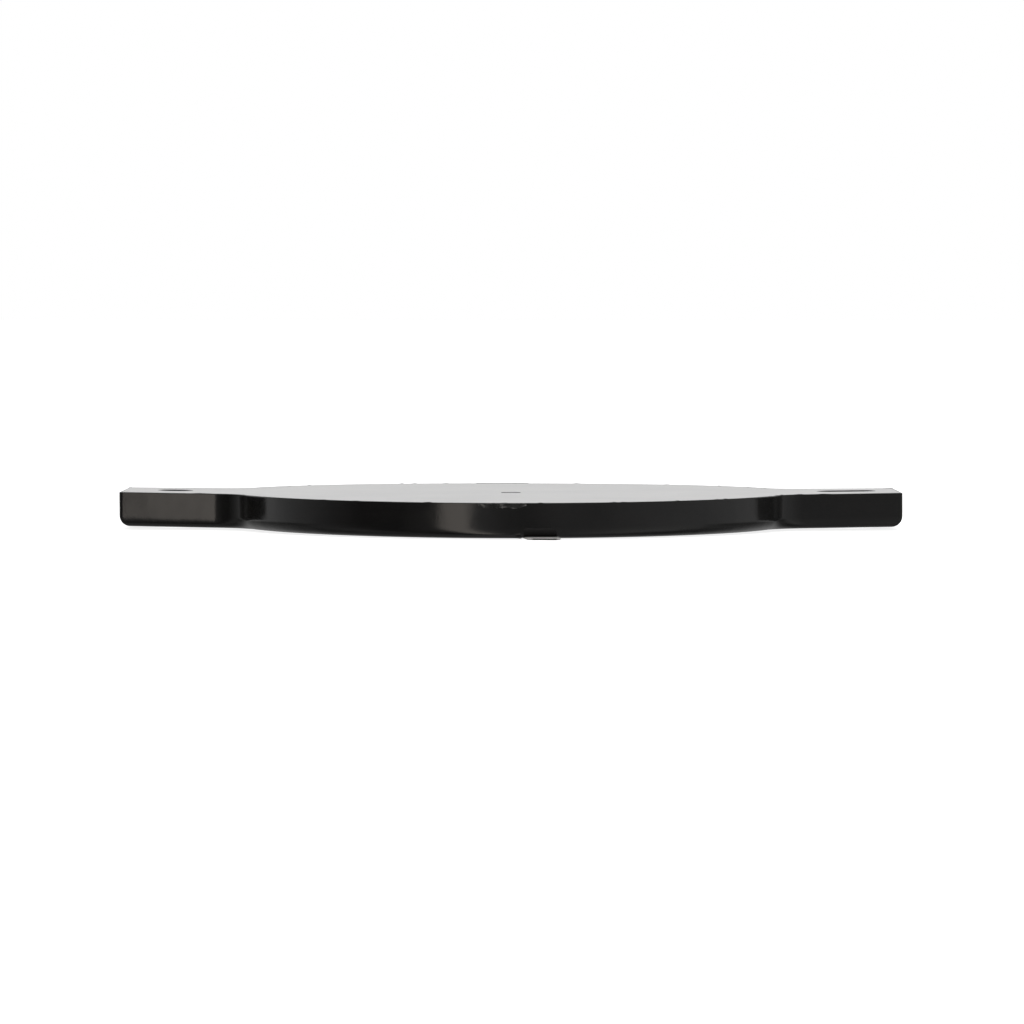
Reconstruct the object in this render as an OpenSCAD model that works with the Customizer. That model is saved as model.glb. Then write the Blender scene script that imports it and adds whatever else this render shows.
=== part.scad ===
// Two-grip kick paddle: a round padded target, 18.5 mm thick, with a flat grip at each end.
// It is a sandwich: cover, soft foam, stiffener board, firm foam and back panel, with firmer
// blocks in the grips, closed all round by a moulded edge band in two halves. The origin is
// the middle of the striking face, which faces down. +X runs along the grips, towards the
// strap slot, and +Z up to the back panel.

/* [Outline] */
// Overall length, from grip end to grip end
overall_length = 420; // [405:1:435]
// Diameter of the round target
disc_d = 305; // [295:1:312]
// Width of a grip at its outer end
grip_end_w = 74; // [66:1:80]
// Angle at which each long edge of a grip opens towards the target, in degrees
grip_taper = 7.8; // [4:0.2:10]
// Radius of the hollow curve where a grip meets the target
neck_r = 22; // [14:1:26]
// Corner radius at the outer end of a grip, seen from above
corner_r = 2; // [1:0.5:3]

/* [Layers] */
// Thickness of the whole paddle
thickness = 18.5; // [16:0.5:22]
// Thickness of the striking face's leather cover
cover_t = 1.2; // [1:0.1:1.4]
// Thickness of the soft foam behind the cover
soft_foam_t = 6; // [4:0.5:7]
// Thickness of the stiffener board
board_t = 3; // [2:0.5:4]
// Thickness of the back panel's sheet
back_t = 0.8; // [0.6:0.1:1]

/* [Edge band] */
// Wall thickness of the edge band
band_t = 3; // [2.5:0.5:4]
// Rounding of the band's lower edge
edge_r = 6; // [4:0.5:6.5]
// Width of the band's rim round the back panel
rim_w = 1.2; // [0.8:0.1:1.6]
// Distance that the band's lower lip reaches in under the foam
lip_w = 14; // [12:1:16]
// Thickness of that lip
lip_t = 1.6; // [1.4:0.1:2]
// Sideways place of the butt joint between the two halves, at the near edge
joint_x = 4.8; // [0:0.2:5]

/* [Grommets] */
// Distance of the hanging hole and of the strap slot from the middle
opening_x = 182; // [176:1:184]
// Clear diameter of the hanging hole
hang_hole_d = 16; // [12:0.5:18]
// Clear length of the strap slot
slot_length = 29; // [24:0.5:30]
// Clear width of the strap slot
slot_w = 14; // [10:0.5:16]
// Width of the flange round each of them
flange_w = 1.6; // [1.2:0.1:2.4]
// Clear length of the air vent in the middle of the back
vent_length = 9; // [7:0.5:12]
// Clear width of the air vent
vent_w = 1.2; // [1:0.1:2]

/* [Label] */
// Width of the blank fabric flag label
label_w = 17.6; // [14:0.2:19]
// Length of the label outside the band
label_reach = 17; // [12:0.5:20]
// Thickness of the folded label
label_t = 0.9; // [0.6:0.1:1]
// Rounding of the label's two outer corners
label_corner_r = 4; // [1:0.5:6]
// Sideways place of the label's middle
label_x = 15.6; // [15.4:0.2:24]

/* [Hidden] */
$fn = 96;

disc_r = disc_d / 2;
half_length = overall_length / 2;
past = 1;                         // how far a cutting shape runs past the face that it cuts

// Heights of the layers' faces
lip_top = cover_t + lip_t;
soft_top = cover_t + soft_foam_t;
board_top = soft_top + board_t;
back_z = thickness - back_t;

// The cover laps onto the band's lip, and its thread lies in a groove near its edge
cover_margin = 1;                 // flat strip of band between its rounded edge and the cover
cover_inset = edge_r + cover_margin;
thread_w = 0.8;
thread_z = 0.1;
groove_depth = 0.6;
thread_margin = 2;                // from the cover's edge to its thread
edge_thread_inset = cover_inset + thread_margin;
target_thread_r = 100;
inner_corner_r = 3;

// Grommets
barrel_t = 1.2;
washer_w = 2.4;
vent_flange_w = 0.9;

// Patches bonded over the band's two joints: [first x, last x, height down the wall, reach over the top]
patch_t = 0.3;
near_patch = [-17, 8, 2.6, 0];
far_patch = [-20, 10, 2.6, 4.2];

// Label: its tail lies flush in the underside, and the flag hangs from the fold outside the wall
label_gap = 0.35;
tail_lap = 4;                     // from the cover's edge to the tail's inner end
tail_inset = cover_inset + tail_lap;
fold_r = disc_r + label_gap + label_t / 2;
label_turn = asin(label_x / disc_r);
bartack_count = 5;
bartack_margin = 1.5;             // from the cover's edge to the stitches that hold the tail
bartack_r = disc_r - cover_inset - bartack_margin;
bartack_size = [1.6, 0.7, 0.5];

// Long edge of a grip: its outward normal, and that edge's distance from the origin along it
edge_normal = [sin(grip_taper), cos(grip_taper)];
edge_reach = half_length * edge_normal.x + grip_end_w / 2 * edge_normal.y;

// Middle of the neck's hollow curve, tangent to the target and to the grip's long edge
neck_along = sqrt((disc_r + neck_r) ^ 2 - (edge_reach + neck_r) ^ 2);
neck_middle = [
    edge_normal.x * (edge_reach + neck_r) + edge_normal.y * neck_along,
    edge_normal.y * (edge_reach + neck_r) - edge_normal.x * neck_along
];
neck_angle = atan2(neck_middle.y, neck_middle.x);

// The target's foams end here, in a straight cut, and the grips' blocks begin
cut_x = (disc_r - band_t) * cos(neck_angle);

// The joint between the band's halves runs straight through the middle, at this angle to the Y axis
joint_angle = asin(joint_x / disc_r);

// Steps of the arcs
disc_steps = 24;
neck_steps = 8;
corner_steps = 4;
lip_steps = 6;
slot_steps = 10;
label_steps = 8;
min_corner_r = 0.4;

function arc(middle, radius, from, to, steps) =
    [for (i = [0 : steps]) let (a = from + (to - from) * i / steps) middle + radius * [cos(a), sin(a)]];

function flipped(points) = [for (i = [len(points) - 1 : -1 : 0]) [points[i].x, -points[i].y]];

function turned_back(points) = [for (p = points) -p];

// A point inside a grip's outer corner, that far from the end and from the long edge
function corner_point(from_edges) = [
    half_length - from_edges,
    (edge_reach - from_edges - (half_length - from_edges) * edge_normal.x) / edge_normal.y
];

// From the middle of a grip's end to the neck's far end, on the far side, moved in by an inset
function grip_side(inset, corner) = concat(
    arc(corner_point(inset + corner), corner, 0, 90 - grip_taper, corner_steps),
    arc(neck_middle, neck_r + inset, -90 - grip_taper, neck_angle - 180, neck_steps)
);

// The right half of the outline, from the near joint round to the far one
function half_outline(inset, corner) =
    let (
        side = grip_side(inset, corner),
        radius = disc_r - inset,
        near_arc = arc([0, 0], radius, joint_angle - 90, -neck_angle, disc_steps),
        far_arc = arc([0, 0], radius, neck_angle, joint_angle + 90, disc_steps)
    )
    concat(
        [for (i = [0 : disc_steps - 1]) near_arc[i]],
        flipped(side),
        side,
        [for (i = [1 : disc_steps]) far_arc[i]]
    );

// The whole outline is that half twice, the second time turned by half a turn
function outline(inset, corner) =
    let (half = half_outline(inset, corner), last = len(half) - 2)
    concat([for (i = [0 : last]) half[i]], [for (i = [0 : last]) -half[i]]);

module layer(inset, low, high, corner = inner_corner_r) {
    translate([0, 0, low]) linear_extrude(high - low) polygon(outline(inset, corner));
}

// A line of thread or its groove, all round at an inset
module ring_line(inset, width, low, high) {
    difference() {
        layer(inset - width / 2, low, high);
        layer(inset + width / 2, low - past, high + past);
    }
}

module circle_line(radius, width, low, high) {
    translate([0, 0, low]) linear_extrude(high - low) difference() {
        circle(radius + width / 2, $fn = 180);
        circle(radius - width / 2, $fn = 180);
    }
}

// ---- Openings ----

module slot_outline(length, width) {
    reach = (length - width) / 2;
    right_end = arc([reach, 0], width / 2, -90, 90, slot_steps);
    polygon(concat(right_end, turned_back(right_end)));
}

module hang_bore(extra, low, high) {
    translate([-opening_x, 0, low]) cylinder(h = high - low, d = hang_hole_d + 2 * extra);
}

module slot_bore(extra, low, high) {
    translate([opening_x, 0, low]) linear_extrude(high - low)
        slot_outline(slot_length + 2 * extra, slot_w + 2 * extra);
}

module vent_bore(extra, low, high) {
    translate([0, 0, low]) linear_extrude(high - low) slot_outline(vent_length + 2 * extra, vent_w + 2 * extra);
}

module grip_bores(extra, low, high) {
    hang_bore(extra, low, high);
    slot_bore(extra, low, high);
}

// ---- Covers and fillings ----

module strike_cover() {
    color("#1b1b1c") difference() {
        layer(cover_inset, 0, cover_t);
        grip_bores(washer_w + barrel_t, -past, cover_t + past);
        ring_line(edge_thread_inset, thread_w, -past, groove_depth);
        circle_line(target_thread_r, thread_w, -past, groove_depth);
        label_pocket();
    }
}

module cover_thread() {
    color("#2a2a2b") difference() {
        ring_line(edge_thread_inset, thread_w, thread_z, groove_depth);
        label_pocket();
    }
}

module target_thread() {
    color("#2a2a2b") circle_line(target_thread_r, thread_w, thread_z, groove_depth);
}

// What fills the band below the board, over the lip, and above the board
module lower_filling() {
    layer(lip_w, cover_t, lip_top);
    layer(band_t, lip_top, soft_top);
}

module upper_filling() {
    layer(band_t, board_top, back_z);
}

module target_zone() {
    translate([-cut_x, -disc_r, 0]) cube([2 * cut_x, disc_d, thickness]);
}

// side is -1 for the left grip and 1 for the right one
module grip_zone(side) {
    translate([side > 0 ? cut_x : -half_length, -disc_r, 0]) cube([half_length - cut_x, disc_d, thickness]);
}

module soft_foam() {
    color("#3b3b3e") intersection() {
        lower_filling();
        target_zone();
    }
}

module core_foam() {
    color("#4a4a4d") intersection() {
        upper_filling();
        target_zone();
    }
}

module grip_pad(side) {
    color("#56565a") difference() {
        intersection() {
            lower_filling();
            grip_zone(side);
        }
        grip_bores(barrel_t, -past, thickness + past);
    }
}

module grip_core(side) {
    color("#626267") difference() {
        intersection() {
            upper_filling();
            grip_zone(side);
        }
        grip_bores(barrel_t, -past, thickness + past);
    }
}

module grip_pad_left() {
    grip_pad(-1);
}

module grip_pad_right() {
    grip_pad(1);
}

module grip_core_left() {
    grip_core(-1);
}

module grip_core_right() {
    grip_core(1);
}

module stiffener_board() {
    color("#26282a") difference() {
        layer(band_t, soft_top, board_top);
        grip_bores(barrel_t, -past, thickness + past);
    }
}

module back_panel() {
    color("#c9c9c9") difference() {
        layer(rim_w, back_z, thickness);
        grip_bores(flange_w, back_z - past, thickness + past);
        vent_bore(vent_flange_w, back_z - past, thickness + past);
    }
}

// ---- Edge band ----

// Section of the band, as [inset, height]: outer wall, rounded lower edge, the step that takes the
// cover, the lip, and the step in the rim that takes the back panel
function band_section() = concat(
    [[0, thickness]],
    arc([edge_r, edge_r], edge_r, 180, 270, lip_steps),
    [
        [cover_inset, 0], [cover_inset, cover_t], [lip_w, cover_t], [lip_w, lip_top],
        [band_t, lip_top], [band_t, back_z], [rim_w, back_z], [rim_w, thickness]
    ]
);

// The right half of the band: its section swept along the right half of the outline
module band_half() {
    section = band_section();
    rings = [for (p = section) half_outline(p.x, max(corner_r - p.x, min_corner_r))];
    across = len(section);
    along = len(rings[0]);
    points = [for (i = [0 : along - 1]) for (k = [0 : across - 1]) [rings[k][i].x, rings[k][i].y, section[k].y]];
    walls = [
        for (i = [0 : along - 2]) for (k = [0 : across - 1])
            let (next = (k + 1) % across)
            [i * across + k, i * across + next, (i + 1) * across + next, (i + 1) * across + k]
    ];
    near_end = [for (k = [across - 1 : -1 : 0]) k];
    far_end = [for (k = [0 : across - 1]) (along - 1) * across + k];
    polyhedron(points, concat([near_end], walls, [far_end]));
}

module edge_band_left() {
    color("#17171a") rotate([0, 0, 180]) band_half();
}

module edge_band_right() {
    color("#17171a") difference() {
        band_half();
        label_pocket();
        slot_bore(barrel_t, cover_t, lip_top + past);
    }
}

// A strip bonded on the wall's top edge, and over the rim where it has a reach.
// The shape is drawn on the near side.
module seam_patch(first_x, last_x, drop, reach) {
    first_angle = asin(first_x / disc_r);
    last_angle = asin(last_x / disc_r);
    rotate([0, 0, -90 + first_angle]) rotate_extrude(angle = last_angle - first_angle) {
        translate([disc_r, thickness - drop]) square([patch_t, drop + (reach > 0 ? patch_t : 0)]);
        if (reach > 0) translate([disc_r - reach, thickness]) square([reach + patch_t, patch_t]);
    }
}

module seam_patch_near() {
    color("#222225") seam_patch(near_patch[0], near_patch[1], near_patch[2], near_patch[3]);
}

module seam_patch_far() {
    color("#222225") mirror([0, 1, 0]) seam_patch(far_patch[0], far_patch[1], far_patch[2], far_patch[3]);
}

// ---- Grommets ----

module hang_grommet() {
    color("#141415") difference() {
        union() {
            hang_bore(barrel_t, 0, thickness);
            hang_bore(flange_w, back_z, thickness);
        }
        hang_bore(0, -past, thickness + past);
    }
}

module hang_grommet_washer() {
    color("#141415") difference() {
        hang_bore(washer_w + barrel_t, 0, cover_t);
        hang_bore(barrel_t, -past, cover_t + past);
    }
}

module slot_grommet() {
    color("#141415") difference() {
        union() {
            slot_bore(barrel_t, 0, thickness);
            slot_bore(flange_w, back_z, thickness);
        }
        slot_bore(0, -past, thickness + past);
    }
}

module slot_grommet_washer() {
    color("#141415") difference() {
        slot_bore(washer_w + barrel_t, 0, cover_t);
        slot_bore(barrel_t, -past, cover_t + past);
    }
}

module vent_grommet() {
    color("#141415") difference() {
        vent_bore(vent_flange_w, back_z, thickness);
        vent_bore(0, back_z - past, thickness + past);
    }
}

// ---- Label ----

// Drawn along -Y and turned to stand square to the wall
module at_label() {
    rotate([0, 0, label_turn]) children();
}

module label_pocket() {
    at_label() translate([-label_w / 2, -disc_r - past, -past])
        cube([label_w, tail_inset + past, label_t + past]);
}

module label_tail() {
    color("#5f5c58") at_label() difference() {
        translate([-label_w / 2, -disc_r, 0]) cube([label_w, tail_inset, label_t]);
        bartack_stitches(past);
    }
}

module label_flag() {
    side = label_w / 2;
    corner_x = side - label_corner_r;
    corner_y = label_corner_r - disc_r - label_reach;
    color("#5f5c58") at_label() {
        linear_extrude(label_t) polygon(concat(
            [[side, -fold_r], [-side, -fold_r]],
            arc([-corner_x, corner_y], label_corner_r, 180, 270, label_steps),
            arc([corner_x, corner_y], label_corner_r, 270, 360, label_steps)
        ));
        translate([-label_w / 2, -fold_r, label_t / 2]) rotate([0, 90, 0]) cylinder(h = label_w, d = label_t);
    }
}

module bartack_stitches(extra) {
    step = label_w / (bartack_count + 1);
    for (i = [1 : bartack_count])
        translate([i * step - label_w / 2 - bartack_size.x / 2, -bartack_r - bartack_size.y / 2, thread_z - extra])
            cube([bartack_size.x, bartack_size.y, bartack_size.z + extra]);
}

module label_bartack() {
    color("#1a1a1a") at_label() bartack_stitches(0);
}

strike_cover();
cover_thread();
target_thread();
soft_foam();
core_foam();
grip_pad_left();
grip_pad_right();
grip_core_left();
grip_core_right();
stiffener_board();
back_panel();
edge_band_left();
edge_band_right();
seam_patch_near();
seam_patch_far();
hang_grommet();
hang_grommet_washer();
slot_grommet();
slot_grommet_washer();
vent_grommet();
label_tail();
label_flag();
label_bartack();
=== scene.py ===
import math
import random

import bmesh
import bpy
from mathutils import Matrix, Vector, geometry, noise


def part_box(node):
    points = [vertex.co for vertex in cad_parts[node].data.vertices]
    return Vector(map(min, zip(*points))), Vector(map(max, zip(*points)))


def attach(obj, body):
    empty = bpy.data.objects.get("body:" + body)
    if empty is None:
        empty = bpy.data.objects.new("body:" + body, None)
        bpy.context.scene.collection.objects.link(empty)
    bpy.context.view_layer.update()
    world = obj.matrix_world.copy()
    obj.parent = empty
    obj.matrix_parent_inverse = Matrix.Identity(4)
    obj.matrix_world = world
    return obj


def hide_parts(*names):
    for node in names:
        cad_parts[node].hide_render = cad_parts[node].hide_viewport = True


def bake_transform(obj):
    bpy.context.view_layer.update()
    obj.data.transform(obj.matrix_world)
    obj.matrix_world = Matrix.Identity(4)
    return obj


random.seed(17)
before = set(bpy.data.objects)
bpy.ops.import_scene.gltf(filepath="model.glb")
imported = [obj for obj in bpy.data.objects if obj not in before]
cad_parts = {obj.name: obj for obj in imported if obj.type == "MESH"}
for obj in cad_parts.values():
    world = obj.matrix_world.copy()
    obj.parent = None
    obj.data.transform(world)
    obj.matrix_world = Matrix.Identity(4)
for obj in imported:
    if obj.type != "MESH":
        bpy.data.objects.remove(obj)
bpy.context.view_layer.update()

# ---- Driving sizes, in millimetres and degrees, the same as in the CAD source ----

MM = 0.001

half_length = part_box("edge_band_right")[1].x / MM
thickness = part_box("edge_band_right")[1].z / MM
disc_r = 152.5
grip_end_w = 74
grip_taper = 7.8
neck_r = 22
corner_r = 2
joint_x = 4.8

cover_t = 1.2
lip_top = 2.8
soft_top = 7.2
board_top = 10.2
back_z = thickness - 0.8

band_t = 3
edge_r = 6
rim_w = 1.2
lip_w = 14
cover_inset = 7

edge_thread_inset = 9
target_thread_r = 100

hang_x = (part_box("hang_grommet")[0].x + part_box("hang_grommet")[1].x) / 2 / MM
hang_hole_r = 8
slot_x = (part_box("slot_grommet")[0].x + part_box("slot_grommet")[1].x) / 2 / MM
slot_length = 29
slot_w = 14
vent_length = 9
vent_w = 1.2
flange_w = 1.6
barrel_t = 1.2
washer_w = 2.4
vent_flange_w = 0.9

label_w = 17.6
label_x = 15.6
label_turn = math.asin(label_x / disc_r)
label_across = Vector((math.cos(label_turn), math.sin(label_turn)))
label_out = Vector((math.sin(label_turn), -math.cos(label_turn)))
label_end_r = 169.5
label_corner_r = 4
fold_r = 153.3
tail_inset = 11
tack_inset = 8.5

# The real paddle has set a little: its two ends stand this much higher than its middle
bow_rise = 1.4


def bow(x):
    return bow_rise * (x / half_length) ** 2


# ---- Outline ----

edge_normal = Vector((math.sin(math.radians(grip_taper)), math.cos(math.radians(grip_taper))))
edge_reach = half_length * edge_normal.x + grip_end_w / 2 * edge_normal.y
neck_along = math.sqrt((disc_r + neck_r) ** 2 - (edge_reach + neck_r) ** 2)
neck_middle = edge_normal * (edge_reach + neck_r) + Vector((edge_normal.y, -edge_normal.x)) * neck_along
neck_angle = math.degrees(math.atan2(neck_middle.y, neck_middle.x))
joint_angle = math.degrees(math.asin(joint_x / disc_r))

disc_steps = 110
neck_steps = 14
corner_steps = 6
side_steps = 12
end_steps = 18
min_corner_r = 0.4
joint_steps_at = (0, 0.12, 0.3)       # extra rings close to a joint, in degrees from it
curve_guard = 0.25                    # how far from a curve's end the flat beside it has a point


def arc(middle, radius, start, end, steps):
    angles = [math.radians(start + (end - start) * i / steps) for i in range(steps + 1)]
    return [Vector((middle[0] + radius * math.cos(a), middle[1] + radius * math.sin(a))) for a in angles]


def between(a, b, steps):
    return [a.lerp(b, i / steps) for i in range(1, steps)]


def straight(a, b, steps):
    """Points between a and b. The first and last keep the shading of the curves next to it off the flat."""
    along = (b - a).normalized() * curve_guard
    return [a + along] + between(a, b, steps) + [b - along]


def corner_point(from_edges):
    x = half_length - from_edges
    return Vector((x, (edge_reach - from_edges - x * edge_normal.x) / edge_normal.y))


def grip_side(inset, corner):
    rounding = arc(corner_point(inset + corner), corner, 0, 90 - grip_taper, corner_steps)
    neck = arc(neck_middle, neck_r + inset, -90 - grip_taper, neck_angle - 180, neck_steps)
    return rounding + straight(rounding[-1], neck[0], side_steps) + neck


def half_outline(inset, joint_gap=0.0):
    """The right half of the outline at an inset, from the near joint round to the far one."""
    radius = disc_r - inset
    side = grip_side(inset, max(corner_r - inset, min_corner_r))
    flipped = [Vector((p.x, -p.y)) for p in reversed(side)]
    gap_angle = math.degrees(joint_gap / disc_r)
    near_start = joint_angle - 90 + gap_angle
    far_end = joint_angle + 90 - gap_angle
    near_edge = [arc((0, 0), radius, near_start + d, near_start + d, 1)[0] for d in joint_steps_at]
    far_edge = [arc((0, 0), radius, far_end - d, far_end - d, 1)[0] for d in reversed(joint_steps_at)]
    near = arc((0, 0), radius, near_start + 1, -neck_angle, disc_steps)[:-1]
    far = arc((0, 0), radius, neck_angle, far_end - 1, disc_steps)[1:]
    return near_edge + near + flipped + straight(flipped[-1], side[0], end_steps) + side + far + far_edge


def outline(inset):
    half = half_outline(inset)[:-1]
    return half + [-p for p in half]


def depth(x, y):
    """How far a point lies inside the outline."""
    p = Vector((abs(x), abs(y)))
    if math.degrees(math.atan2(p.y, p.x)) >= neck_angle:
        return disc_r - p.length
    if (p - neck_middle).dot(Vector((edge_normal.y, -edge_normal.x))) < 0:
        return (p - neck_middle).length - neck_r
    return min(half_length - p.x, edge_reach - p.dot(edge_normal))


def label_place(x, y):
    """A point in the label's own directions: across it, and out from the middle."""
    turned = Vector((x, y))
    turned.rotate(Matrix.Rotation(-label_turn, 2))
    return turned.x, -turned.y


def out_of_label(across, out):
    """The place of a point given in the label's own directions."""
    return across * label_across + out * label_out


# ---- Openings: a loop of points round each, and the distance of a point outside it ----

def circle_loop(middle_x, radius, steps=64):
    return arc((middle_x, 0), radius, 0, 360, steps)[:-1]


def slot_loop(middle_x, length, width, steps=24):
    reach = (length - width) / 2
    right = arc((middle_x + reach, 0), width / 2, -90, 90, steps)
    left = arc((middle_x - reach, 0), width / 2, 90, 270, steps)
    straight_steps = max(2, int(reach) + 1)
    top = between(right[-1], left[0], straight_steps)
    bottom = between(left[-1], right[0], straight_steps)
    return right + top + left + bottom


def hang_loop(extra):
    return circle_loop(hang_x, hang_hole_r + extra)


def strap_loop(extra):
    return slot_loop(slot_x, slot_length + 2 * extra, slot_w + 2 * extra)


def vent_loop(extra):
    return slot_loop(0, vent_length + 2 * extra, vent_w + 2 * extra, 8)


def slot_distance(x, y, middle_x, length, width):
    reach = (length - width) / 2
    along = max(abs(x - middle_x) - reach, 0)
    return math.hypot(along, y) - width / 2


def hang_distance(x, y):
    return math.hypot(x - hang_x, y) - hang_hole_r


def strap_distance(x, y):
    return slot_distance(x, y, slot_x, slot_length, slot_w)


def vent_distance(x, y):
    return slot_distance(x, y, 0, vent_length, vent_w)


# ---- Mesh making: every mesh is made in millimetres, bowed, and turned into metres ----

def make_piece(name, points, faces, material, sharp_angle=40):
    mesh = bpy.data.meshes.new(name)
    mesh.from_pydata([(p[0] * MM, p[1] * MM, (p[2] + bow(p[0])) * MM) for p in points], [], faces)
    build = bmesh.new()
    build.from_mesh(mesh)
    bmesh.ops.recalc_face_normals(build, faces=build.faces)
    build.to_mesh(mesh)
    build.free()
    mesh.shade_smooth()
    mesh.set_sharp_from_angle(angle=math.radians(sharp_angle))
    mesh.materials.append(material)
    piece = bpy.data.objects.new(name, mesh)
    bpy.context.scene.collection.objects.link(piece)
    return piece


def settle(piece, node):
    """Puts the piece in place of a CAD node, fixed to the paddle. Only the label does this differently."""
    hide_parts(node)
    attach(piece, "paddle")


def swept(rings, closed_along):
    """Points and quads of a section swept along a path. rings[i][k] is point k of section i."""
    across = len(rings[0])
    points = [p for ring in rings for p in ring]
    faces = []
    for i in range(len(rings) - (0 if closed_along else 1)):
        for k in range(across):
            here = i * across
            there = (i + 1) % len(rings) * across
            after = (k + 1) % across
            faces.append((here + k, here + after, there + after, there + k))
    if not closed_along:
        faces.append(tuple(range(across)))
        faces.append(tuple((len(rings) - 1) * across + k for k in range(across)))
    return points, faces


def panel(loops, inside, low_at, high_at, spacing, extra_points=()):
    """Points and faces of a closed sheet. loops[0] is its edge and the others are its holes."""
    flat = []
    edges = []
    for loop in loops:
        first = len(flat)
        flat += [Vector((p[0], p[1])) for p in loop]
        edges += [(first + i, first + (i + 1) % len(loop)) for i in range(len(loop))]
    flat += [Vector((p[0], p[1])) for p in extra_points]
    row_step = spacing * math.sqrt(3) / 2
    rows = int(disc_r / row_step)
    columns = int(half_length / spacing)
    for row in range(-rows, rows + 1):
        for column in range(-columns, columns + 1):
            x = (column + 0.5 * (row % 2)) * spacing
            y = row * row_step
            if inside(x, y) > spacing * 0.45:
                flat.append(Vector((x, y)))
    found = geometry.delaunay_2d_cdt(flat, edges, [], 1, 1e-5)
    corners = found[0]
    triangles = []
    for face in found[2]:
        middle = sum((corners[i] for i in face), Vector((0, 0))) / len(face)
        if inside(middle.x, middle.y) > 0:
            triangles.append(tuple(face))
    used = sorted({i for face in triangles for i in face})
    number = {old: new for new, old in enumerate(used)}
    triangles = [tuple(number[i] for i in face) for face in triangles]
    spots = [corners[i] for i in used]
    count = len(spots)
    points = [(p.x, p.y, low_at(p.x, p.y)) for p in spots] + [(p.x, p.y, high_at(p.x, p.y)) for p in spots]
    faces = list(triangles)
    faces += [tuple(i + count for i in reversed(face)) for face in triangles]
    sides = {}
    for face in triangles:
        for a, b in zip(face, face[1:] + face[:1]):
            sides[(a, b)] = True
    for a, b in sides:
        if (b, a) not in sides:
            faces.append((b, a, a + count, b + count))
    return points, faces


def ripple(x, y, size, height, seed):
    """Smooth unevenness with features of that size, in millimetres."""
    return height * noise.noise(Vector((x / size, y / size, seed)))


def dip(distance, width, height):
    return height * math.exp(-((distance / width) ** 2))


# ---- Materials ----

def add_node(owner, kind, **settings):
    """A new node of a material or of the world. The settings are inputs or properties of the node."""
    node = owner.node_tree.nodes.new(kind)
    for key, value in settings.items():
        if key in node.inputs:
            node.inputs[key].default_value = value
        else:
            setattr(node, key, value)
    return node


def link(owner, start, end):
    owner.node_tree.links.new(start, end)


def start_material(name, roughness, **shader_values):
    material = bpy.data.materials.new(name)
    material.use_nodes = True
    shader = material.node_tree.nodes["Principled BSDF"]
    shader.inputs["Roughness"].default_value = roughness
    for key, value in shader_values.items():
        shader.inputs[key.replace("_", " ")].default_value = value
    place = add_node(material, "ShaderNodeTexCoord")
    return material, shader, place.outputs["Object"]


def noise_texture(material, place, scale, detail=4.0):
    texture = add_node(material, "ShaderNodeTexNoise", Scale=scale, Detail=detail)
    link(material, place, texture.inputs["Vector"])
    return texture.outputs["Fac"]


def cell_texture(material, place, scale, feature="F1"):
    texture = add_node(material, "ShaderNodeTexVoronoi", feature=feature)
    texture.inputs["Scale"].default_value = scale
    link(material, place, texture.inputs["Vector"])
    return texture.outputs["Distance"]


def ramp(owner, value, stops):
    node = add_node(owner, "ShaderNodeValToRGB")
    colours = node.color_ramp
    while len(colours.elements) < len(stops):
        colours.elements.new(0.5)
    for element, (position, colour) in zip(colours.elements, stops):
        element.position = position
        element.color = (*colour, 1)
    link(owner, value, node.inputs["Fac"])
    return node.outputs["Color"]


def stretch(owner, value, low, high):
    """Turns a value from low to high into one from 0 to 1."""
    node = add_node(owner, "ShaderNodeMapRange")
    node.inputs["From Min"].default_value = low
    node.inputs["From Max"].default_value = high
    link(owner, value, node.inputs["Value"])
    return node.outputs["Result"]


def tint(material, shader, value, stops):
    """Colours the material by a value from 0 to 1."""
    link(material, ramp(material, value, stops), shader.inputs["Base Color"])


def roughen(material, shader, value, low, high):
    """Makes the material's roughness run from low to high with a value from 0 to 1."""
    node = add_node(material, "ShaderNodeMapRange")
    node.inputs["To Min"].default_value = low
    node.inputs["To Max"].default_value = high
    link(material, value, node.inputs["Value"])
    link(material, node.outputs["Result"], shader.inputs["Roughness"])


def add_bump(material, shader, heights):
    """heights is a list of (height socket, depth in metres); the bumps are chained."""
    normal = None
    for height, distance in heights:
        node = add_node(material, "ShaderNodeBump", Distance=distance)
        link(material, height, node.inputs["Height"])
        if normal is not None:
            link(material, normal, node.inputs["Normal"])
        normal = node.outputs["Normal"]
    link(material, normal, shader.inputs["Normal"])


def grey(value, warmth=0.0):
    return (value * (1 + warmth), value, value * (1 - warmth))


def band_rubber():
    material, shader, place = start_material("band_rubber", 0.2)
    blotches = noise_texture(material, place, 45, 3)
    tint(material, shader, blotches, [(0.3, grey(0.0038)), (0.7, grey(0.0062, 0.05))])
    smears = noise_texture(material, place, 160, 5)
    roughen(material, shader, smears, 0.09, 0.18)
    grain = cell_texture(material, place, 1500)
    waves = noise_texture(material, place, 60, 2)
    add_bump(material, shader, [(grain, 0.000012), (waves, 0.00012)])
    return material


def patch_film():
    material, shader, place = start_material("patch_film", 0.22)
    drawn_out = add_node(material, "ShaderNodeMapping", Scale=(0.4, 1, 1))
    link(material, place, drawn_out.inputs["Vector"])
    blotches = noise_texture(material, drawn_out.outputs["Vector"], 420, 5)
    # The warm grey blotches are painted highlights for glints on the crumpled film; the near-black ones are
    # the film's own uneven tone.
    tint(material, shader, blotches, [(0.44, grey(0.001)), (0.54, grey(0.012)), (0.62, grey(0.10, 0.05))])
    roughen(material, shader, noise_texture(material, place, 700, 4), 0.1, 0.6)
    crumple = noise_texture(material, place, 900, 6)
    add_bump(material, shader, [(crumple, 0.0003)])
    return material


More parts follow.
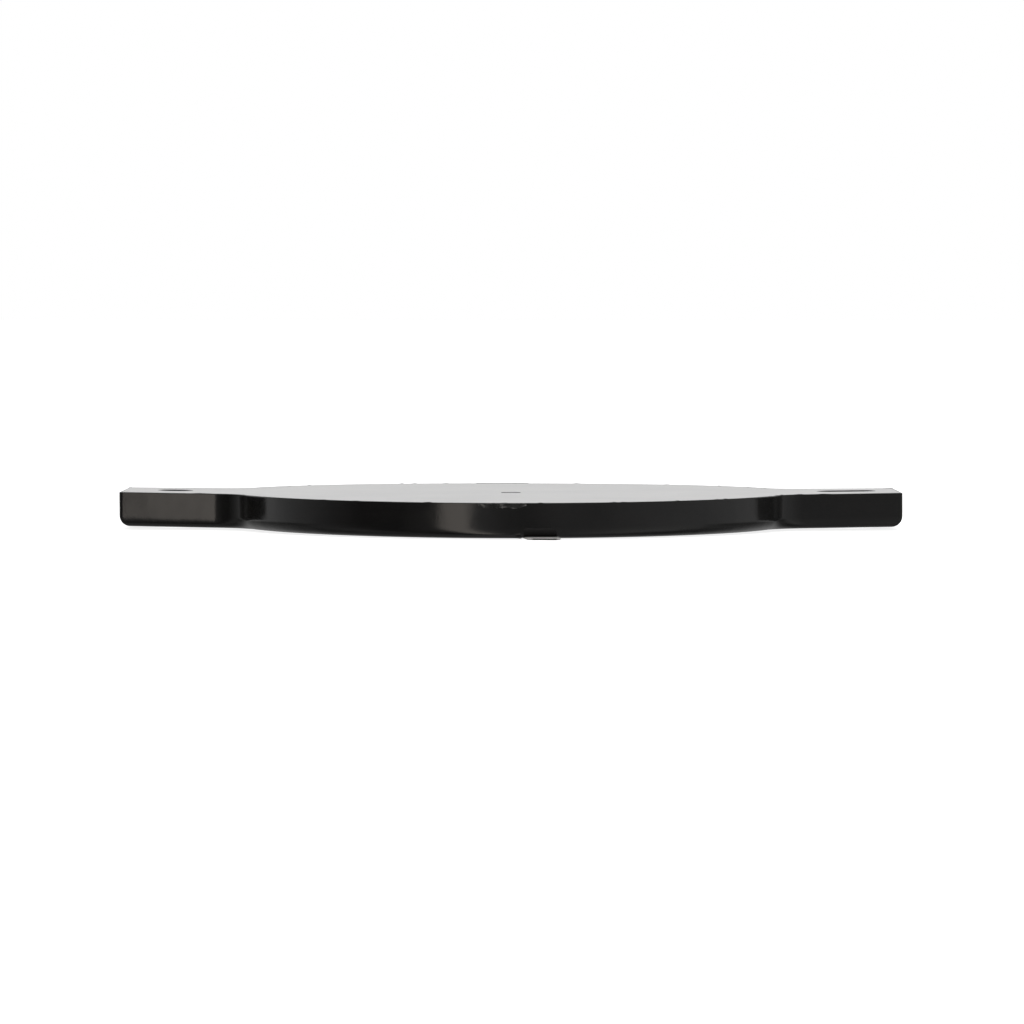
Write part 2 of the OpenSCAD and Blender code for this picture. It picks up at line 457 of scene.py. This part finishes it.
def black_leather():
    material, shader, place = start_material("black_leather", 0.42)
    tone = noise_texture(material, place, 25, 5)
    tint(material, shader, tone, [(0.25, grey(0.020)), (0.75, grey(0.034, 0.03))])
    pebbles = cell_texture(material, place, 850)
    creases = cell_texture(material, place, 320, "DISTANCE_TO_EDGE")
    crease_lines = ramp(material, creases, [(0.0, grey(0.0)), (0.14, grey(1.0))])
    pores = noise_texture(material, place, 4000, 2)
    roughen(material, shader, pebbles, 0.34, 0.55)
    add_bump(material, shader, [(pebbles, 0.0003), (crease_lines, 0.00018), (pores, 0.00004)])
    return material


def grey_sheet():
    material, shader, place = start_material("grey_sheet", 0.5)
    tone = noise_texture(material, place, 18, 6)
    tint(material, shader, tone, [(0.3, grey(0.56)), (0.7, grey(0.60, 0.004))])
    grain = cell_texture(material, place, 1300)
    scuffs = noise_texture(material, place, 240, 8)
    roughen(material, shader, scuffs, 0.42, 0.6)
    add_bump(material, shader, [(grain, 0.00003), (scuffs, 0.00002)])
    return material


def black_plastic():
    material, shader, place = start_material("black_plastic", 0.3)
    tone = noise_texture(material, place, 120, 4)
    tint(material, shader, tone, [(0.3, grey(0.006)), (0.7, grey(0.011))])
    scratches = noise_texture(material, place, 900, 6)
    roughen(material, shader, scratches, 0.2, 0.42)
    grain = noise_texture(material, place, 1800, 2)
    add_bump(material, shader, [(grain, 0.00001)])
    return material


def black_thread():
    material, shader, place = start_material("black_thread", 0.55, Sheen_Weight=0.4)
    fibres = noise_texture(material, place, 3000, 3)
    tint(material, shader, fibres, [(0.3, grey(0.012)), (0.7, grey(0.035))])
    strands = add_node(material, "ShaderNodeTexWave", Scale=900.0, Distortion=1.5)
    strands.bands_direction = "DIAGONAL"
    link(material, place, strands.inputs["Vector"])
    add_bump(material, shader, [(strands.outputs["Fac"], 0.0001), (fibres, 0.00004)])
    return material


def woven_label():
    material, shader, place = start_material("woven_label", 0.75, Sheen_Weight=0.3)
    warp = add_node(material, "ShaderNodeTexWave", Scale=1150.0, Distortion=0.3)
    warp.bands_direction = "X"
    weft = add_node(material, "ShaderNodeTexWave", Scale=980.0, Distortion=0.3)
    weft.bands_direction = "Y"
    link(material, place, warp.inputs["Vector"])
    link(material, place, weft.inputs["Vector"])
    weave = add_node(material, "ShaderNodeMath", operation="MAXIMUM")
    link(material, warp.outputs["Fac"], weave.inputs[0])
    link(material, weft.outputs["Fac"], weave.inputs[1])
    colour = ramp(material, weave.outputs["Value"], [(0.2, grey(0.32, 0.04)), (0.9, grey(0.60, 0.02))])
    # The outermost 0.7 mm of the fold fades to near black: painted shade on the label's outer edge.
    out = add_node(material, "ShaderNodeVectorMath", operation="DOT_PRODUCT")
    out.inputs[1].default_value = (*label_out, 0)
    link(material, place, out.inputs[0])
    outward = stretch(material, out.outputs["Value"], (label_end_r - 0.9) * MM, (label_end_r - 0.2) * MM)
    painted_fold_shade = add_node(material, "ShaderNodeMix", data_type="RGBA")
    link(material, outward, painted_fold_shade.inputs["Factor"])
    link(material, colour, painted_fold_shade.inputs["A"])
    painted_fold_shade.inputs["B"].default_value = (0.018, 0.016, 0.015, 1)
    link(material, painted_fold_shade.outputs["Result"], shader.inputs["Base Color"])
    fluff = noise_texture(material, place, 2500)
    add_bump(material, shader, [(weave.outputs["Value"], 0.00004), (fluff, 0.00003)])
    return material


def foam_material(name, tone, cells):
    material, shader, place = start_material(name, 0.95)
    cell = cell_texture(material, place, cells)
    tint(material, shader, cell, [(0.1, grey(tone * 0.6)), (0.5, grey(tone))])
    grain = noise_texture(material, place, cells * 2)
    add_bump(material, shader, [(cell, 0.0003), (grain, 0.0001)])
    return material


def fibre_board():
    material, shader, place = start_material("fibre_board", 0.7)
    flakes = cell_texture(material, place, 260)
    tint(material, shader, flakes, [(0.1, grey(0.012)), (0.6, grey(0.028, 0.08))])
    fibres = noise_texture(material, place, 1400)
    add_bump(material, shader, [(flakes, 0.00008), (fibres, 0.00004)])
    return material


rubber = band_rubber()
patch_black = patch_film()
leather = black_leather()
sheet_grey = grey_sheet()
plastic = black_plastic()
thread = black_thread()
weave_cloth = woven_label()
soft_cells = foam_material("soft_foam_cells", 0.05, 1400)
firm_cells = foam_material("firm_foam_cells", 0.07, 2200)
board_fibres = fibre_board()


# ---- Edge band: a moulded section swept round each half, with a small bead where they meet ----

top_edge_r = 0.5
joint_gap = 0.01
bead_h = 1.6                          # a bead squeezed out of the joint fills the band's lower rounding
bead_fill = 0.85
bead_fade = 0.4                       # the bead loses this share of itself with each ring of points
pocket_z = 0.95                       # the right half's underside is this high over the label's tail
pocket_room = 0.2                     # and so wide of it on each side
wall_steps = 8
top_edge_steps = 4


def band_section():
    """The points that show on the outside, from the top edge down, and then the inner ones."""
    top_arc = arc((0, thickness - top_edge_r), top_edge_r, 90, 0, top_edge_steps)
    top = [Vector((top_edge_r - p.x, p.y)) for p in top_arc]
    bottom = arc((edge_r, edge_r), edge_r, 180, 270, 12)
    wall = straight(top[-1], bottom[0], wall_steps)
    inner = [
        (cover_inset, 0), (cover_inset, cover_t), (lip_w, cover_t), (lip_w, lip_top),
        (band_t, lip_top), (band_t, back_z), (rim_w, back_z), (rim_w, thickness)
    ]
    return top + wall + bottom, [Vector(p) for p in inner]


speck_count = 34
speck_w = 0.9
speck_h = 0.22
speck_spots = [math.radians(random.uniform(0, 360)) for n in range(speck_count)]


def rim_specks(flat):
    """Small crumbs left on the band's top edge by trimming."""
    angle = math.atan2(flat.y, flat.x) % (2 * math.pi)
    nearest = min(abs(angle - a) for a in speck_spots)
    return dip(nearest * disc_r, speck_w, speck_h)


def band_half(turn):
    """Points and faces of one half. turn is 1 for the right half and -1 for the left."""
    outer, inner = band_section()
    section = outer + inner
    paths = [half_outline(p.x, joint_gap) for p in section]
    beaded = [half_outline(p.x * (1 - dip(p.y, bead_h, bead_fill)), joint_gap) for p in section]
    along = len(paths[0])
    rings = []
    for i in range(along):
        bead_share = max(0, 1 - bead_fade * min(i, along - 1 - i))
        ring = []
        for k, spot in enumerate(section):
            outside = k < len(outer)
            flat = paths[k][i].lerp(beaded[k][i], bead_share if outside else 0) * turn
            height = spot.y
            across, out = label_place(flat.x, flat.y)
            if turn > 0 and abs(across) < label_w / 2 + pocket_room and out > 0:
                height = max(height, pocket_z)
            if k <= top_edge_steps / 2 or k == len(section) - 1:
                height += rim_specks(flat)
            if outside and 0 < k:
                flat = flat * (1 + ripple(flat.x + 3 * flat.y, height, 14, 0.0005, 3.0))
            ring.append((flat.x, flat.y, height))
        rings.append(ring)
    return swept(rings, closed_along=False)


for side, turn in (("right", 1), ("left", -1)):
    band = make_piece(f"{side}_band", *band_half(turn), rubber, 50)
    settle(band, f"edge_band_{side}")


# ---- Patches over the joints: thin film, uneven, with ragged lower edges ----

film_t = 0.4
film_drop = 2.6
over_rim_t = 0.16
film_steps = 170
film_rows = 13
film_reach_steps = 5
film_fade_at = 1 / 8                  # a patch thins out over this share of its length at each end


def ragged_edge(share, side):
    """How far the patch's lower edge wanders, from -1 to 1."""
    coarse = noise.noise(Vector((share * 16, 1.5, side)))
    fine = noise.noise(Vector((share * 50, 4, side)))
    return 0.7 * coarse + 0.3 * fine


def film_lumps(along, height, side):
    """How thick the film is there, as a share of its usual thickness."""
    coarse = noise.noise(Vector((along / 1.6, height / 0.9, 9.0 * side)))
    fine = noise.noise(Vector((along / 0.6, height / 0.45, 5.0 * side)))
    return 0.2 + 1.5 * max(0.5 + 0.6 * coarse + 0.4 * fine, 0)


def film_section(low, reach):
    """Points up the wall and over the rim by reach, each as (inset, height, share of the thickness)."""
    section = [(0.0, low, 0.1), (0.0, low, 0.6)]
    section += [(0.0, low + (thickness - low) * j / film_rows, 1.0) for j in range(1, film_rows)]
    if not reach:
        return section + [(0.2, thickness, 0.3)]
    section.append((0.05, thickness + over_rim_t * 0.8, 0.2))
    for j in range(1, film_reach_steps + 1):
        section.append((reach * j / film_reach_steps, thickness + over_rim_t, 0.0))
    return section + [(reach, thickness + 0.02, 0.0), (0.1, thickness + 0.02, 0.0)]


def patch_spot(radius, angle, height, side):
    return radius * math.sin(angle), side * radius * math.cos(angle), height


def seam_patch(name, node, first_x, last_x, reach, side):
    """A film strip on the wall's top edge, and over the rim by reach. side is -1 for near, 1 for far."""
    first = math.asin(first_x / disc_r)
    last = math.asin(last_x / disc_r)
    back = disc_r - 0.05
    rings = []
    for i in range(film_steps + 1):
        share = i / film_steps
        angle = first + (last - first) * share
        fade = min(1, share / film_fade_at, (1 - share) / film_fade_at)
        low = thickness - film_drop * (0.55 + 0.45 * fade) - 0.9 * ragged_edge(share, side) * fade
        ring = []
        for inset, height, proud in film_section(low, reach):
            raised = film_t * proud * film_lumps(angle * disc_r, height, side) * (0.4 + 0.6 * fade)
            ring.append(patch_spot(disc_r - inset + raised, angle, height, side))
        ring.append(patch_spot(back, angle, thickness - 0.5, side))
        ring.append(patch_spot(back, angle, low, side))
        rings.append(ring)
    patch = make_piece(name, *swept(rings, closed_along=False), patch_black, 30)
    settle(patch, node)


seam_patch("near_joint_patch", "seam_patch_near", -17, 8, 0, -1)
seam_patch("far_joint_patch", "seam_patch_far", -20, 10, 4.2, 1)


# ---- Back sheet ----

back_spacing = 5


def back_inside(x, y):
    return min(depth(x, y) - rim_w, hang_distance(x, y) - flange_w, strap_distance(x, y) - flange_w,
               vent_distance(x, y) - vent_flange_w)


def back_top(x, y):
    edge = max(back_inside(x, y), 0)
    return thickness - dip(edge, 0.5, 0.12) + ripple(x, y, 60, 0.03, 5.0)


def make_back():
    loops = [outline(rim_w), hang_loop(flange_w), strap_loop(flange_w), vent_loop(vent_flange_w)]
    softening = outline(rim_w + 0.5) + outline(rim_w + 1.2)
    made = panel(loops, back_inside, lambda x, y: back_z, back_top, back_spacing, softening)
    settle(make_piece("back_sheet", *made, sheet_grey, 60), "back_panel")


make_back()


# ---- Strike cover: leather drawn down along its stitches, crowned between them ----

stitch_pitch = 4.2
stitch_groove = 0.62                  # how deep a seam's thread lies in the leather
edge_seam = {"groove_w": 1.3, "slope_w": 5, "slope_h": 0.14, "fold_at": 1.8, "fold_w": 1.0, "fold_h": 0.04}
ring_seam = {"groove_w": 1.4, "slope_w": 7, "slope_h": 0.16, "fold_at": 2.0, "fold_w": 1.1, "fold_h": 0.05}
cover_spacing = 3.2


def cover_inside(x, y):
    return min(depth(x, y) - cover_inset, hang_distance(x, y) - barrel_t - washer_w,
               strap_distance(x, y) - barrel_t - washer_w, label_pocket_distance(x, y))


def label_pocket_distance(x, y):
    across, out = label_place(x, y)
    if abs(across) > label_w / 2:
        return abs(across) - label_w / 2
    return disc_r - tail_inset - out


def seam_height(away, pucker, groove_w, slope_w, slope_h, fold_at, fold_w, fold_h):
    """How far a seam draws the leather in: a groove, the padding's slope to it, and small folds beside it."""
    drawn_in = dip(away, groove_w, stitch_groove) + dip(away, slope_w, slope_h)
    return drawn_in + pucker * dip(abs(away) - fold_at, fold_w, fold_h)


def cover_low(x, y):
    """The height of the striking face, which is lowest where the padding crowns most."""
    from_edge = depth(x, y)
    radius = math.hypot(x, y)
    angle = math.atan2(y, x)
    washer = min(hang_distance(x, y), strap_distance(x, y)) - barrel_t - washer_w
    pucker = 0.5 + 0.5 * math.cos(angle * radius / stitch_pitch * 2 * math.pi)
    height = seam_height(from_edge - edge_thread_inset, pucker, **edge_seam)
    height += seam_height(radius - target_thread_r, pucker, **ring_seam)
    height += dip(from_edge - cover_inset, 0.7, 0.3)
    height += dip(max(washer, 0), 2.0, 0.25)
    height += 0.05 + ripple(x, y, 26, 0.07, 7.0) + ripple(x, y, 9, 0.03, 8.0)
    return max(height, 0)


def cover_edge():
    """The cover's edge, with the notch that the label's tail lies in."""
    notch_out = math.sqrt((disc_r - cover_inset) ** 2 - (label_w / 2) ** 2)
    notch = [(-label_w / 2, notch_out), (-label_w / 2, disc_r - tail_inset), (0, disc_r - tail_inset),
             (label_w / 2, disc_r - tail_inset), (label_w / 2, notch_out)]
    loop = []
    added = False
    for p in outline(cover_inset):
        across, out = label_place(p.x, p.y)
        if out > 0 and abs(across) < label_w / 2 + pocket_room:
            if not added:
                loop += [out_of_label(*n) for n in notch]
                added = True
            continue
        loop.append(p)
    return loop


def seam_guides():
    """Extra points beside the seams, so that the mesh can follow their grooves."""
    guides = []
    for offset in (-2.6, -1.8, -1, -0.4, 0.4, 1, 1.8, 2.6):
        if edge_thread_inset + offset > cover_inset:
            guides += outline(edge_thread_inset + offset)
        guides += circle_loop(0, target_thread_r + offset, 360)
    return [p for p in guides if cover_inside(p.x, p.y) > 0.3]


def make_cover():
    loops = [cover_edge(), hang_loop(barrel_t + washer_w), strap_loop(barrel_t + washer_w)]
    made = panel(loops, cover_inside, cover_low, lambda x, y: cover_t - 0.02, cover_spacing, seam_guides())
    cover = make_piece("strike_leather", *made, leather, 60)
    settle(cover, "strike_cover")


make_cover()


# ---- Foams, grip blocks and board ----

cut_x = (disc_r - band_t) * math.cos(math.radians(neck_angle))
layer_gap = 0.03
band_room = 0.1                       # between a layer and the band round it
barrel_room = 0.05
layer_edge_w = 1.0
layer_edge_h = 0.25
layer_spacing = 7


def cut_outline(inset, first_x, last_x):
    """The outline at an inset, cut off straight at both x."""
    loop = outline(inset)
    kept = []
    for a, b in zip(loop, loop[1:] + loop[:1]):
        if first_x <= a.x <= last_x:
            kept.append(a)
        for x in (first_x, last_x):
            if (a.x - x) * (b.x - x) < 0:
                kept.append(a.lerp(b, (x - a.x) / (b.x - a.x)))
    return kept


def filling(name, node, low, high, material, slot, first_x=-half_length, last_x=half_length, openings=()):
    """A layer inside the band, cut straight at both x, with its openings and slightly rounded edges."""
    inset = band_t + band_room
    barrel = barrel_t + barrel_room
    loops = [cut_outline(inset, first_x, last_x)] + [loop_at(barrel) for loop_at, distance in openings]

    def inside(x, y):
        rooms = [distance(x, y) - barrel for loop_at, distance in openings]
        return min([depth(x, y) - inset, x - first_x, last_x - x] + rooms)

    def edge_rounding(x, y):
        return dip(max(inside(x, y), 0), layer_edge_w, layer_edge_h)

    def bottom(x, y):
        return low + layer_gap + edge_rounding(x, y)

    def top(x, y):
        return high - layer_gap - edge_rounding(x, y)

    made = make_piece(name, *panel(loops, inside, bottom, top, layer_spacing), material)
    settle(made, node)
    return made


def padding(name, node, low, high, material, slot, **place):
    filling(name, node, low, high, material, slot, **place)


hang_opening = [(hang_loop, hang_distance)]
strap_opening = [(strap_loop, strap_distance)]
left_grip = {"last_x": -cut_x - layer_gap, "openings": hang_opening}
right_grip = {"first_x": cut_x + layer_gap, "openings": strap_opening}
target = {"first_x": -cut_x + layer_gap, "last_x": cut_x - layer_gap}

padding("soft_layer", "soft_foam", lip_top, soft_top, soft_cells, "soft_foam", **target)
padding("firm_layer", "core_foam", board_top, back_z, firm_cells, "firm_foam", **target)
padding("left_grip_pad", "grip_pad_left", lip_top, soft_top, firm_cells, "firm_foam", **left_grip)
padding("right_grip_pad", "grip_pad_right", lip_top, soft_top, firm_cells, "firm_foam", **right_grip)
padding("left_grip_block", "grip_core_left", board_top, back_z, firm_cells, "firm_foam", **left_grip)
padding("right_grip_block", "grip_core_right", board_top, back_z, firm_cells, "firm_foam", **right_grip)
filling("board_sheet", "stiffener_board", soft_top, board_top, board_fibres, "board",
        openings=hang_opening + strap_opening)


# ---- Grommets and their washers: sections turned round each opening ----

def turned_ring(name, node, loop_at, section):
    """section is a list of (distance from the opening's edge, height)."""
    loops = [loop_at(extra) for extra, height in section]
    heights = [height for extra, height in section]
    rings = [[(p.x, p.y, height) for p, height in zip(around, heights)] for around in zip(*loops)]
    ring = make_piece(name, *swept(rings, closed_along=True), plastic, 50)
    settle(ring, node)


def grommet_section():
    """A rounded foot, the barrel's wall, and a rolled flange on the back sheet."""
    foot = [(barrel_t, 0.2), (barrel_t - 0.2, 0), (0.2, 0), (0, 0.2)]
    roll = [(0, thickness - 0.5), (0.12, thickness - 0.16), (0.4, thickness + 0.05)]
    roll += [(flange_w * 0.55, thickness + 0.09), (flange_w - 0.3, thickness + 0.03)]
    under = [(flange_w - 0.04, thickness - 0.25), (flange_w - 0.04, back_z + 0.02), (barrel_t, back_z + 0.02)]
    return foot + roll + under


def vent_section():
    outer = vent_flange_w - 0.03
    return [
        (0, back_z + 0.03), (0, thickness - 0.2), (0.1, thickness + 0.08), (0.3, thickness + 0.18),
        (0.55, thickness + 0.18), (outer - 0.08, thickness), (outer, thickness - 0.2), (outer, back_z + 0.03)
    ]


def washer_section():
    inner = barrel_t + 0.05
    outer = barrel_t + washer_w - 0.05
    return [
        (inner, cover_t - 0.02), (inner, 0.3), (inner + 0.3, 0.02), (inner + 0.9, 0.0), (outer - 0.9, 0.08),
        (outer - 0.25, 0.25), (outer, 0.55), (outer, cover_t - 0.02)
    ]


turned_ring("hanging_ring", "hang_grommet", hang_loop, grommet_section())
turned_ring("hanging_ring_washer", "hang_grommet_washer", hang_loop, washer_section())
turned_ring("strap_ring", "slot_grommet", strap_loop, grommet_section())
turned_ring("strap_ring_washer", "slot_grommet_washer", strap_loop, washer_section())
turned_ring("vent_ring", "vent_grommet", vent_loop, vent_section())


# ---- Stitching: one small loop of thread for each stitch ----

thread_r = 0.34
stitch_height = 0.42
stitch_slant = 0.16
stitch_thinning = 0.55                # share of its radius that a stitch loses at its ends
stitch_rise = 0.45                    # how far the ends are drawn up into the leather
stitch_steps = 8
stitch_around = 8
label_clearance = 1.5                 # the edge stitches stop this far from the label's pocket


def spaced(loop, pitch):
    """Points round a closed loop at an even pitch."""
    lengths = [0.0]
    for a, b in zip(loop, loop[1:] + loop[:1]):
        lengths.append(lengths[-1] + (b - a).length)
    count = round(lengths[-1] / pitch)
    spots = []
    i = 0
    for n in range(count):
        wanted = lengths[-1] * n / count
        while lengths[i + 1] < wanted:
            i += 1
        share = (wanted - lengths[i]) / (lengths[i + 1] - lengths[i])
        spots.append(loop[i].lerp(loop[(i + 1) % len(loop)], share))
    return spots


def stitch_tube(start, end, height, points, faces):
    """Adds a rounded thread between two points, its ends drawn up into the leather."""
    along = end - start
    side = Vector((-along.y, along.x)).normalized()
    start = start + side * stitch_slant
    end = end - side * stitch_slant
    rings = []
    for i in range(stitch_steps + 1):
        share = i / stitch_steps
        middle = start.lerp(end, share)
        bend = (2 * share - 1) ** 6
        radius = thread_r * (1 - stitch_thinning * bend)
        lift = height + stitch_rise * bend
        ring = []
        for k in range(stitch_around):
            angle = 2 * math.pi * k / stitch_around
            spot = middle + side * radius * math.cos(angle)
            ring.append((spot.x, spot.y, lift + radius * math.sin(angle)))
        rings.append(ring)
    first = len(points)
    tube_points, tube_faces = swept(rings, closed_along=False)
    points += tube_points
    faces += [tuple(first + i for i in face) for face in tube_faces]


def stitching(name, node, loop):
    points = []
    faces = []
    spots = spaced(loop, stitch_pitch)
    for a, b in zip(spots, spots[1:] + spots[:1]):
        if label_pocket_distance(*((a + b) / 2)) < label_clearance and a.y < 0:
            continue
        stitch_tube(a.lerp(b, 0.08), a.lerp(b, 0.9), stitch_height, points, faces)
    settle(make_piece(name, points, faces, thread, 80), node)


stitching("edge_stitching", "cover_thread", outline(edge_thread_inset))
stitching("ring_stitching", "target_thread", circle_loop(0, target_thread_r, 360))


# ---- Label: one ribbon folded double, its two ends under the cover and its fold outside ----

ribbon_t = 0.3
lower_ply = 0.2
upper_ply = 0.7
ribbon_out_steps = 44
ribbon_fold_steps = 8
ribbon_across_steps = 16
corner_share = 0.98                   # how full the rounding of the label's outer corners is
wave_h = 0.05
fray_h = 0.06
tack_count = 5
tack_length = 2
tack_height = 0.28


def ribbon_path():
    """The ribbon's middle line as (distance out, height), from one end round the fold to the other."""
    tail_r = disc_r - tail_inset + 0.2
    turn_r = (upper_ply - lower_ply) / 2
    outer = label_end_r - turn_r - ribbon_t / 2
    steps = ribbon_out_steps
    lower = [Vector((tail_r + (outer - tail_r) * i / steps, lower_ply)) for i in range(steps)]
    fold = arc((outer, (lower_ply + upper_ply) / 2), turn_r, -90, 90, ribbon_fold_steps)
    upper = [Vector((p.x, upper_ply)) for p in reversed(lower)]
    return lower + fold + upper


def corner_cut(out):
    """How much narrower each side of the label is there, at its two rounded outer corners."""
    past_corner = min(label_corner_r, max(0, out - label_end_r + label_corner_r))
    return label_corner_r - math.sqrt(label_corner_r ** 2 - past_corner ** 2) * corner_share


def ribbon():
    path = ribbon_path()
    steps = ribbon_across_steps
    rings = []
    for i, spot in enumerate(path):
        before = path[max(i - 1, 0)]
        after = path[min(i + 1, len(path) - 1)]
        along = (after - before).normalized()
        square = Vector((along.y, -along.x))
        ring = []
        for face, order in ((1, range(steps + 1)), (-1, range(steps, -1, -1))):
            for k in order:
                share = 2 * k / steps - 1
                edge = 1 - 0.5 * abs(share) ** 12
                out, height = spot + square * face * ribbon_t / 2 * edge
                loose = max(0, min(1, (out - fold_r) / 6))
                wave = loose * wave_h * math.sin(share * 2.4 + out * 0.5)
                frayed = label_w / 2 - 0.05 - fray_h * math.sin(out * 9) - corner_cut(out)
                flat = out_of_label(share * frayed, out)
                ring.append((flat.x, flat.y, height + wave))
        rings.append(ring)
    return swept(rings, closed_along=False)


def make_label():
    """Makes the ribbon, folded double, in place of the CAD label's two parts."""
    label = make_piece("flag_label", *ribbon(), weave_cloth, 60)
    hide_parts("label_tail", "label_flag")
    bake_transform(label)


make_label()


def label_tacks():
    points = []
    faces = []
    step = label_w / (tack_count + 1)
    for i in range(1, tack_count + 1):
        across = i * step - label_w / 2
        start = out_of_label(across - tack_length / 2, disc_r - tack_inset)
        end = out_of_label(across + tack_length / 2, disc_r - tack_inset)
        stitch_tube(start, end, tack_height, points, faces)
    settle(make_piece("label_tacks", points, faces, thread, 80), "label_bartack")


label_tacks()


# ---- Floor, light and camera ----

floor_reach = 40
floor_z = -0.0004


def make_floor():
    """A pale floor that mirrors don't see, and that is clear from below."""
    mesh = bpy.data.meshes.new("floor")
    corners = [(-1, -1), (1, -1), (1, 1), (-1, 1)]
    mesh.from_pydata([(x * floor_reach, y * floor_reach, floor_z) for x, y in corners], [], [(0, 1, 2, 3)])
    floor = bpy.data.objects.new("floor", mesh)
    bpy.context.scene.collection.objects.link(floor)
    material = bpy.data.materials.new("pale_floor")
    material.use_nodes = True
    shader = material.node_tree.nodes["Principled BSDF"]
    shader.inputs["Base Color"].default_value = (0.6, 0.6, 0.6, 1)
    shader.inputs["Roughness"].default_value = 1
    shader.inputs["Specular IOR Level"].default_value = 0
    shader.inputs["Emission Color"].default_value = (1, 1, 1, 1)
    shader.inputs["Emission Strength"].default_value = 0.84
    back_face = add_node(material, "ShaderNodeNewGeometry")
    clear = add_node(material, "ShaderNodeBsdfTransparent")
    chosen = add_node(material, "ShaderNodeMixShader")
    link(material, back_face.outputs["Backfacing"], chosen.inputs["Fac"])
    link(material, shader.outputs["BSDF"], chosen.inputs[1])
    link(material, clear.outputs["BSDF"], chosen.inputs[2])
    link(material, chosen.outputs["Shader"], material.node_tree.nodes["Material Output"].inputs["Surface"])
    mesh.materials.append(material)
    floor.visible_glossy = False


make_floor()

# Brightness of the studio round the object, by direction: degrees from the front, to the right
studio = [
    (-180, 1.0), (-150, 1.0), (-120, 0.55), (-98, 0.33), (-86, 0.22), (-63, 0.03), (-45, 0.04),
    (-33, 0.12), (-22, 0.2), (-12, 0.31), (-4, 0.16), (8, 0.16), (20, 0.26), (32, 0.24), (67, 0.38),
    (98, 0.4), (120, 0.36), (150, 1.0), (180, 1.0)
]

# Brightness by height, as a share of that, from straight down at -1 to straight up at 1: the floor
# is bright in front, and dark behind, where the paddle shades it
height_in_front = [(-1, 0.85), (-0.75, 1.15), (-0.1, 1.0), (1, 1.0)]
height_behind = [(-1, 0.22), (-0.8, 0.15), (-0.5, 0.45), (-0.2, 0.3), (-0.08, 1.0), (1, 1.0)]
front_blend = 0.15


def make_world():
    """The camera sees plain white, and the object is lit by the studio's brightness."""
    world = bpy.data.worlds.new("studio")
    bpy.context.scene.world = world
    world.use_nodes = True
    background = world.node_tree.nodes["Background"]
    place = add_node(world, "ShaderNodeTexCoord")
    parts = add_node(world, "ShaderNodeSeparateXYZ")
    link(world, place.outputs["Generated"], parts.inputs["Vector"])
    front = add_node(world, "ShaderNodeMath", operation="MULTIPLY")
    front.inputs[1].default_value = -1
    link(world, parts.outputs["Y"], front.inputs[0])
    around = add_node(world, "ShaderNodeMath", operation="ARCTAN2")
    link(world, parts.outputs["X"], around.inputs[0])
    link(world, front.outputs["Value"], around.inputs[1])
    share = stretch(world, around.outputs["Value"], -math.pi, math.pi)
    colour = ramp(world, share, [((a + 180) / 360, grey(v)) for a, v in studio])
    height = stretch(world, parts.outputs["Z"], -1, 1)
    before = ramp(world, height, [((z + 1) / 2, grey(v)) for z, v in height_in_front])
    behind = ramp(world, height, [((z + 1) / 2, grey(v)) for z, v in height_behind])
    facing = stretch(world, parts.outputs["Y"], -front_blend, front_blend)
    dimmed = add_node(world, "ShaderNodeMix", data_type="RGBA")
    link(world, facing, dimmed.inputs["Factor"])
    link(world, before, dimmed.inputs["A"])
    link(world, behind, dimmed.inputs["B"])
    mirrored = add_node(world, "ShaderNodeBackground")
    link(world, colour, mirrored.inputs["Color"])
    link(world, dimmed.outputs["Result"], mirrored.inputs["Strength"])
    background.inputs["Color"].default_value = (1, 1, 1, 1)
    background.inputs["Strength"].default_value = 1.0
    chosen = add_node(world, "ShaderNodeMixShader")
    ray = add_node(world, "ShaderNodeLightPath")
    link(world, ray.outputs["Is Camera Ray"], chosen.inputs["Fac"])
    link(world, mirrored.outputs["Background"], chosen.inputs[1])
    link(world, background.outputs["Background"], chosen.inputs[2])
    link(world, chosen.outputs["Shader"], world.node_tree.nodes["World Output"].inputs["Surface"])


make_world()


def softbox(name, place, size, power, colour=(1, 1, 1), target=(0, 0, 0)):
    light = bpy.data.lights.new(name, "AREA")
    light.shape = "RECTANGLE"
    light.size, light.size_y = size
    light.energy = power
    light.color = colour
    lamp = bpy.data.objects.new(name, light)
    lamp.location = place
    lamp.rotation_euler = (Vector(target) - Vector(place)).to_track_quat("-Z", "Y").to_euler()
    lamp.visible_camera = False
    bpy.context.scene.collection.objects.link(lamp)


softbox("overhead", (0, 0.2, 2.2), (2.2, 2.2), 26)
softbox("strip", (-0.592, -1.545, -3.5), (0.355, 9.0), 13.6, (1.1, 1.0, 0.9), (-0.03, -0.15, -3.5))

camera_down = 2.225                   # degrees that the camera looks down and is rolled by
camera_roll = -0.06


def make_camera():
    camera_data = bpy.data.cameras.new("camera")
    camera_data.lens = 186.25
    camera_data.sensor_width = 36
    camera_data.clip_end = 100
    camera = bpy.data.objects.new("camera", camera_data)
    camera.location = (0.00047, -2.8744, 0.1196)
    camera.rotation_euler = (math.radians(90 - camera_down), math.radians(camera_roll), 0)
    bpy.context.scene.collection.objects.link(camera)
    bpy.context.scene.camera = camera


make_camera()
bpy.context.scene.view_settings.view_transform = "Standard"
